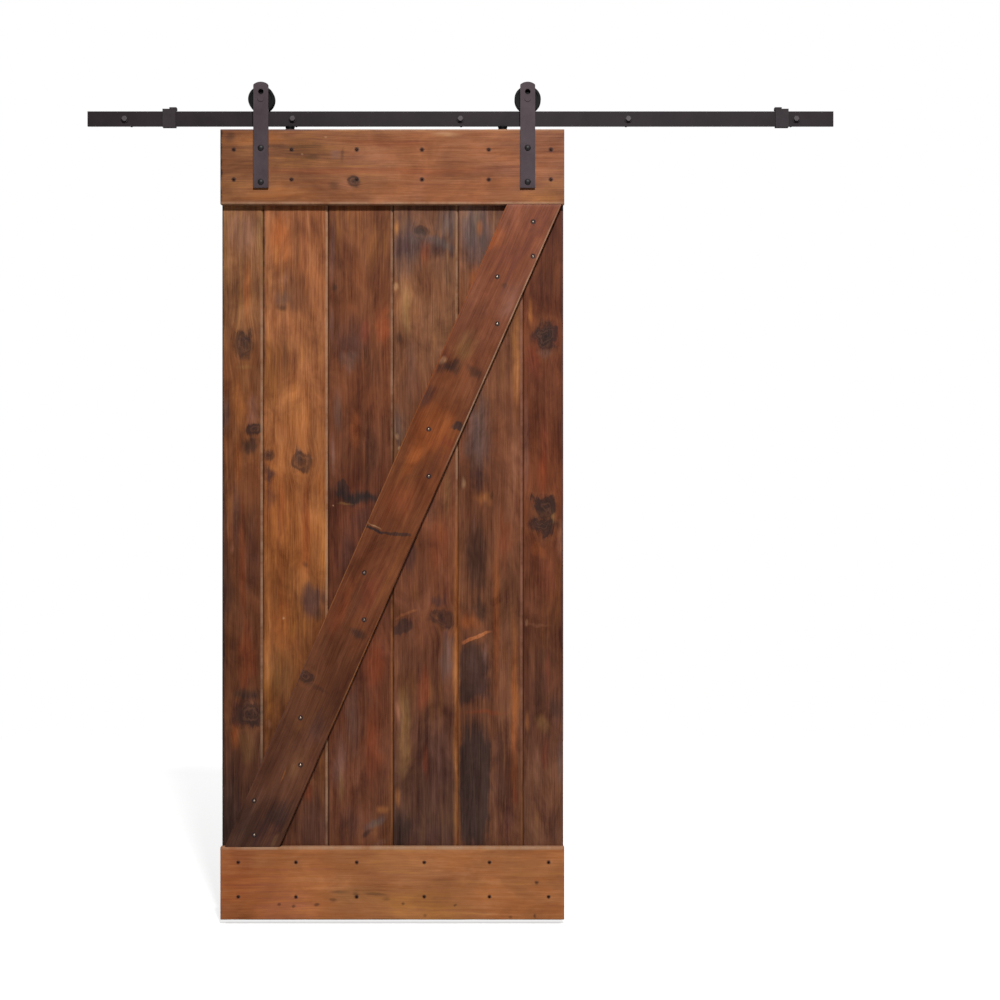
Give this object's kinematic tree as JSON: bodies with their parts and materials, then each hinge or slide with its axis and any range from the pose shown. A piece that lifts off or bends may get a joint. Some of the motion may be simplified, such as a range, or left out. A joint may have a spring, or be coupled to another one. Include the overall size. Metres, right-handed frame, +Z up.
{
  "type": "sliding barn door with wall rail",
  "caption": "Planked Z-frame door hung by strap hangers with grooved wheels on a flat wall rail with standoffs and end stops.",
  "frame": {"origin": "axis of the middle wall bolt at the wall plane, on the middle line of the rail", "axes": "+X along the rail to the right as seen from the front, +Y back into the wall, +Z up"},
  "size_m": [2, 0.1155, 2.2403],
  "materials": {
    "rail_metal": "dark bronze powder coat, fine texture, low satin",
    "hanger_metal": "charcoal bronze powder coat, fine texture, satin",
    "dark_fasteners": "dark bronze coating, satin",
    "black_fasteners": "near-black bronze coating, satin gloss",
    "bare_steel": "zinc-plated steel, satin",
    "nail_iron": "dark forged nails, rubbed bright on top",
    "bumper_rubber": "dark grey rubber, matt",
    "black_nylon": "black nylon, satin",
    "plank_wood_1": "stained plank, satin, brown with grey and dark edge",
    "plank_wood_2": "stained plank, satin, golden brown",
    "plank_wood_3": "stained plank, satin, red brown",
    "plank_wood_4": "stained plank, satin, brown with grey patches",
    "plank_wood_5": "stained plank, satin, dark brown and grey patches",
    "plank_wood_6": "stained plank, satin, dark red brown",
    "top_board_wood": "stained board, satin, orange brown",
    "bottom_board_wood": "stained board, satin, orange brown, worn arris",
    "brace_wood": "stained board, satin, red brown, worn edges"
  },
  "bodies": {
    "rail": {"rail": "rail_metal", "standoffs": "rail_metal", "lag_bolts": "dark_fasteners", "lag_washers": "dark_fasteners", "stop_block_left": "hanger_metal", "stop_block_right": "hanger_metal", "bumper_left": "bumper_rubber", "bumper_right": "bumper_rubber", "stop_set_screws": "bare_steel"},
    "door": {"plank_1": "plank_wood_1", "plank_2": "plank_wood_2", "plank_3": "plank_wood_3", "plank_4": "plank_wood_4", "plank_5": "plank_wood_5", "plank_6": "plank_wood_6", "top_board": "top_board_wood", "bottom_board": "bottom_board_wood", "brace": "brace_wood", "nails_top": "nail_iron", "nails_bottom": "nail_iron", "nails_brace": "nail_iron", "strap_left": "hanger_metal", "strap_right": "hanger_metal", "hanger_bolts_left": "black_fasteners", "hanger_bolts_right": "black_fasteners", "hanger_washers": "bare_steel", "hanger_nuts": "bare_steel", "axle_bolt_left": "hanger_metal", "axle_bolt_right": "hanger_metal", "axle_spacer_left": "bare_steel", "axle_spacer_right": "bare_steel", "axle_washer_left": "bare_steel", "axle_washer_right": "bare_steel", "axle_nut_left": "bare_steel", "axle_nut_right": "bare_steel", "bearing_inner_left": "bare_steel", "bearing_inner_right": "bare_steel", "anti_jump_disc_left": "black_nylon", "anti_jump_disc_right": "black_nylon", "anti_jump_screws": "dark_fasteners"},
    "wheel_left": {"wheel_left": "black_nylon", "bearing_outer_left": "bare_steel", "bearing_balls_left": "bare_steel", "bearing_shields_left": "bare_steel"},
    "wheel_right": {"wheel_right": "black_nylon", "bearing_outer_right": "bare_steel", "bearing_balls_right": "bare_steel", "bearing_shields_right": "bare_steel"}
  },
  "joints": [
    {"name": "door_slide", "type": "slide", "parent": "rail", "child": "door", "axis": [1, 0, 0], "range_m": [-0.198, 0.632]},
    {"name": "wheel_left_spin", "type": "hinge", "parent": "door", "child": "wheel_left", "pos_m": [-0.533, -0.038, 0.0513], "axis": [0, 1, 0], "continuous": true},
    {"name": "wheel_right_spin", "type": "hinge", "parent": "door", "child": "wheel_right", "pos_m": [0.18, -0.038, 0.0513], "axis": [0, 1, 0], "continuous": true}
  ],
  "couplings": [
    {"joint": "wheel_left_spin", "follows": "door_slide", "rad_per_m": 32.258},
    {"joint": "wheel_right_spin", "follows": "door_slide", "rad_per_m": 32.258}
  ]
}
